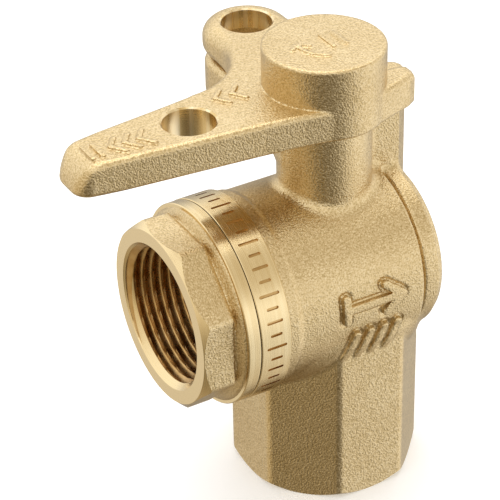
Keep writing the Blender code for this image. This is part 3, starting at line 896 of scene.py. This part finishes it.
def make_lever(slots):
    lever = forging(
        "lever_forging", lever_field,
        (ARM_TIP - SPARE, -HUB_RADIUS - SPARE, PLATE_BOTTOM - SPARE),
        (STUB_END + SPARE, LOCK_RADIUS + EAR_RADIUS + SPARE, HUB_TOP + SPARE),
        LEVER_STEP, slots,
    )
    inner, outer = CHANNEL
    inner_end, outer_end = (math.degrees(math.acos(CHANNEL_STOP / r)) for r in CHANNEL)
    channel = [
        *arc((0, 0), outer, 0, outer_end, CHANNEL_STEPS), *arc((0, 0), inner, inner_end, 0, CHANNEL_STEPS),
    ]
    pocket = arc((0, LOCK_RADIUS), EAR_POCKET_RADIUS, 0, 360, EAR_POCKET_STEPS)[:-1]
    for outline in (channel, pocket):
        shape(lever, prism(outline, PLATE_BOTTOM - SPARE, CHANNEL_CEILING), index=FORGED)
    hole_cut(lever, 0, LOCK_RADIUS, PLATE_BOTTOM, PLATE_TOP)
    hole_cut(lever, -LOCK_RADIUS, 0, PLATE_BOTTOM, PLATE_TOP)
    corner = math.degrees(math.acos(STEM_SOCKET_HALF / STEM_SOCKET_RADIUS))
    double_d = [
        *arc((0, 0), STEM_SOCKET_RADIUS, corner, 180 - corner, STEM_SOCKET_STEPS),
        *arc((0, 0), STEM_SOCKET_RADIUS, 180 + corner, 360 - corner, STEM_SOCKET_STEPS),
    ]
    shape(lever, prism(double_d, PLATE_BOTTOM - SPARE, SOCKET_CEILING), index=TURNED_Z)
    pin = stepped(PIN_SPAN[0], [(PIN_HOLE_RADIUS, PIN_SPAN[1])])
    shape(lever, lathe(pin, "Y", (0, 0, PIN_HEIGHT), PIN_ROUND), index=DRILLED)
    finish_piece(lever, "lever", "lever")


# ---------------------------------------------------------------- finishes

def new_material(name, colour, roughness, metallic=1.0):
    finish = bpy.data.materials.new(name)
    finish.use_nodes = True
    tree = finish.node_tree
    shader = tree.nodes["Principled BSDF"]
    shader.inputs["Base Color"].default_value = (*colour, 1.0)
    shader.inputs["Roughness"].default_value = roughness
    shader.inputs["Metallic"].default_value = metallic
    return finish, tree, shader


def position(tree):
    return tree.nodes.new("ShaderNodeTexCoord").outputs["Object"]


def split(tree, vector):
    """Outputs of a vector's parts, named X, Y and Z."""
    node = tree.nodes.new("ShaderNodeSeparateXYZ")
    tree.links.new(vector, node.inputs["Vector"])
    return node.outputs


def noise(tree, coordinate, scale, detail=2.0, roughness=0.5, dimensions="3D"):
    node = tree.nodes.new("ShaderNodeTexNoise")
    node.noise_dimensions = dimensions
    node.inputs["Scale"].default_value = scale
    node.inputs["Detail"].default_value = detail
    node.inputs["Roughness"].default_value = roughness
    tree.links.new(coordinate, node.inputs["W" if dimensions == "1D" else "Vector"])
    return node.outputs["Fac"]


def ramp(tree, factor, stops):
    """Colour ramp from (place, colour) stops."""
    node = tree.nodes.new("ShaderNodeValToRGB")
    elements = node.color_ramp.elements
    while len(elements) < len(stops):
        elements.new(0.5)
    for element, (place, colour) in zip(elements, stops):
        element.position = place
        element.color = (*colour, 1.0)
    tree.links.new(factor, node.inputs["Fac"])
    return node.outputs["Color"]


def multiply(tree, a, b):
    """Product of two colours."""
    mix = tree.nodes.new("ShaderNodeMix")
    mix.data_type = "RGBA"
    mix.blend_type = "MULTIPLY"
    mix.inputs["Factor"].default_value = 1.0
    tree.links.new(a, mix.inputs["A"])
    tree.links.new(b, mix.inputs["B"])
    return mix.outputs["Result"]


def spread(tree, value, low, high):
    """A noise carried to the range from low to high."""
    node = tree.nodes.new("ShaderNodeMapRange")
    node.inputs["From Min"].default_value, node.inputs["From Max"].default_value = NOISE_RANGE
    node.inputs["To Min"].default_value = low
    node.inputs["To Max"].default_value = high
    tree.links.new(value, node.inputs["Value"])
    return node.outputs["Result"]


def bump(tree, height, distance, strength):
    node = tree.nodes.new("ShaderNodeBump")
    node.inputs["Distance"].default_value = distance
    node.inputs["Strength"].default_value = strength
    tree.links.new(height, node.inputs["Height"])
    return node.outputs["Normal"]


def forged_brass():
    """Blasted forging: fine grain whose colour follows its relief, darker in the hollows as painted shade
    and lighter on the peaks as painted glints, with faint clouds of colour.
    """
    finish, tree, shader = new_material("blasted_brass", FORGED_BRASS, 0.34)
    place = position(tree)
    grain = noise(tree, place, FORGED_GRAIN, 1)
    # Colour from the same noise as the bump: painted shade in the hollows, painted glints on the peaks.
    speckle_shade_and_glint = ramp(tree, grain, FORGED_GRAIN_SHADE_AND_GLINT_COLOURS)
    tint = ramp(tree, noise(tree, place, FORGED_CLOUDS), FORGED_TINTS)
    tree.links.new(multiply(tree, speckle_shade_and_glint, tint), shader.inputs["Base Color"])
    tree.links.new(spread(tree, grain, 0.30, 0.38), shader.inputs["Roughness"])
    tree.links.new(bump(tree, grain, FORGED_RELIEF, 1.0), shader.inputs["Normal"])
    return finish


def turned_brass(name, axis):
    """Machined surface: fine rings round its axis, bright and smooth."""
    finish, tree, shader = new_material(name, BRASS, 0.22)
    along = split(tree, position(tree))[axis]
    marks = noise(tree, along, TURNED_LINES, 2, 0.6, "1D")
    bands = noise(tree, along, TURNED_BANDS, 1, 0.5, "1D")
    tree.links.new(ramp(tree, bands, TURNED_COLOURS), shader.inputs["Base Color"])
    tree.links.new(spread(tree, marks, 0.18, 0.3), shader.inputs["Roughness"])
    tree.links.new(bump(tree, marks, TURNED_RELIEF, 0.5), shader.inputs["Normal"])
    return finish


def drilled_brass():
    """Walls of the padlock holes: streaks along the drill's axis and fine rings across it."""
    finish, tree, shader = new_material("drilled_brass", BRASS, 0.25)
    place = position(tree)
    stretch = tree.nodes.new("ShaderNodeMapping")
    stretch.inputs["Scale"].default_value = DRILLED_STRETCH
    tree.links.new(place, stretch.inputs["Vector"])
    streaks = noise(tree, stretch.outputs["Vector"], DRILLED_STREAKS)
    rings = noise(tree, split(tree, place)["Z"], DRILLED_RINGS, 1, 0.5, "1D")
    tree.links.new(ramp(tree, streaks, DRILLED_COLOURS), shader.inputs["Base Color"])
    tree.links.new(spread(tree, streaks, 0.2, 0.34), shader.inputs["Roughness"])
    tree.links.new(bump(tree, rings, DRILLED_RELIEF, 0.4), shader.inputs["Normal"])
    return finish


def threaded_brass_painted_shade():
    """Threads and engraved ticks: cut, and coloured darker as painted shade, standing in for the shade
    deep in the cuts.
    """
    finish, tree, shader = new_material("threaded_brass_painted_shade", THREADED_PAINTED_SHADE_BRASS, 0.26)
    patches = noise(tree, position(tree), THREADED_PATCHES)
    tree.links.new(ramp(tree, patches, THREADED_PAINTED_SHADE_COLOURS), shader.inputs["Base Color"])
    tree.links.new(spread(tree, patches, 0.2, 0.32), shader.inputs["Roughness"])
    return finish


def plain_finish(name, colour, roughness, metallic, grain_scale, strength):
    finish, tree, shader = new_material(name, colour, roughness, metallic)
    grain = noise(tree, position(tree), grain_scale)
    tree.links.new(spread(tree, grain, roughness * 0.85, roughness * 1.15), shader.inputs["Roughness"])
    tree.links.new(bump(tree, grain, PLAIN_RELIEF, strength), shader.inputs["Normal"])
    return finish


def give_finish(node, finish):
    """Gives a CAD node that stays as it is one finish all over."""
    mesh = frame["nodes"][node].data
    mesh.materials.clear()
    mesh.materials.append(finish)


# ---------------------------------------------------------------- floor, light, camera

def direction_of(azimuth, elevation):
    """Unit vector: azimuth 0 is -Y and 90 is +X, in degrees."""
    a, e = math.radians(azimuth), math.radians(elevation)
    return (math.sin(a) * math.cos(e), -math.cos(a) * math.cos(e), math.sin(e))


def make_floor():
    mesh = bpy.data.meshes.new("floor")
    reach = FLOOR_REACH
    corners = [(-reach, -reach, 0), (reach, -reach, 0), (reach, reach, 0), (-reach, reach, 0)]
    mesh.from_pydata(corners, [], [(0, 1, 2, 3)])
    finish, tree, shader = new_material("floor", (0.9, 0.9, 0.9), 0.9, 0.0)
    shader.inputs["Emission Color"].default_value = (1, 1, 1, 1)
    shader.inputs["Emission Strength"].default_value = FLOOR_GLOW
    mesh.materials.append(finish)
    floor = bpy.data.objects.new("floor", mesh)
    bpy.context.collection.objects.link(floor)
    floor.visible_glossy = False


def make_light():
    """Weak soft box overhead."""
    data = bpy.data.lights.new("top", "AREA")
    data.shape = "RECTANGLE"
    data.size = LIGHT_SIZE
    data.size_y = LIGHT_SIZE
    data.energy = LIGHT_POWER
    light = bpy.data.objects.new("top", data)
    light.location = LIGHT_PLACE
    light.rotation_euler = (Vector(LIGHT_TARGET) - Vector(LIGHT_PLACE)).to_track_quat("-Z", "Y").to_euler()
    bpy.context.collection.objects.link(light)


def tent_patch(tree, direction, place, cosines, colour):
    """Colour factor of one soft-edged darker part of the tent."""
    facing = tree.nodes.new("ShaderNodeVectorMath")
    facing.operation = "DOT_PRODUCT"
    facing.inputs[1].default_value = direction_of(*place)
    tree.links.new(direction, facing.inputs[0])
    away = tree.nodes.new("ShaderNodeMapRange")
    away.interpolation_type = "SMOOTHSTEP"
    away.inputs["From Min"].default_value, away.inputs["From Max"].default_value = cosines
    tree.links.new(facing.outputs["Value"], away.inputs["Value"])
    return ramp(tree, away.outputs["Result"], [(0.0, colour), (1.0, (1.0, 1.0, 1.0))])


def make_world():
    """Soft white tent with its darker parts, in front of a plain white backdrop."""
    world = bpy.data.worlds.new("studio")
    world.use_nodes = True
    bpy.context.scene.world = world
    tree = world.node_tree
    direction = tree.nodes.new("ShaderNodeTexCoord").outputs["Generated"]
    shares = [tent_patch(tree, direction, *patch) for patch in TENT_PATCHES]
    colour = shares[0]
    for share in shares[1:]:
        colour = multiply(tree, colour, share)
    tent = tree.nodes["Background"]
    tent.inputs["Strength"].default_value = TENT_STRENGTH
    tree.links.new(colour, tent.inputs["Color"])
    backdrop = tree.nodes.new("ShaderNodeBackground")
    backdrop.inputs["Color"].default_value = (1, 1, 1, 1)
    backdrop.inputs["Strength"].default_value = BACKDROP_STRENGTH
    path = tree.nodes.new("ShaderNodeLightPath")
    mix = tree.nodes.new("ShaderNodeMixShader")
    tree.links.new(path.outputs["Is Camera Ray"], mix.inputs["Fac"])
    tree.links.new(tent.outputs["Background"], mix.inputs[1])
    tree.links.new(backdrop.outputs["Background"], mix.inputs[2])
    tree.links.new(mix.outputs["Shader"], tree.nodes["World Output"].inputs["Surface"])


def make_camera():
    data = bpy.data.cameras.new("camera")
    data.sensor_width = SENSOR_WIDTH
    data.lens = FOCAL_LENGTH
    data.clip_start = CLIP_START
    camera = bpy.data.objects.new("camera", data)
    bpy.context.collection.objects.link(camera)
    back = Vector(direction_of(*CAMERA_DIRECTION))
    place = BALL_CENTRE + Vector(CAMERA_AIM) + back * CAMERA_DISTANCE
    roll = Matrix.Rotation(math.radians(CAMERA_ROLL), 4, "Z")
    turned = (-back).to_track_quat("-Z", "Y").to_matrix().to_4x4() @ roll
    camera.matrix_world = Matrix.Translation(place) @ turned
    bpy.context.scene.camera = camera


def main():
    bpy.context.scene.view_settings.view_transform = "Standard"
    slots = [
        forged_brass(), turned_brass("turned_brass_x", "X"), turned_brass("turned_brass_z", "Z"),
        drilled_brass(), threaded_brass_painted_shade(),
    ]
    make_body(slots)
    make_connector(slots)
    make_lever(slots)
    plain = {name: plain_finish(name, *values) for name, values in PLAIN_FINISHES.items()}
    for node, name in NODE_FINISHES.items():
        give_finish(node, plain[name])
    give_finish("stem", slots[TURNED_Z])
    make_floor()
    make_light()
    make_world()
    make_camera()


main()
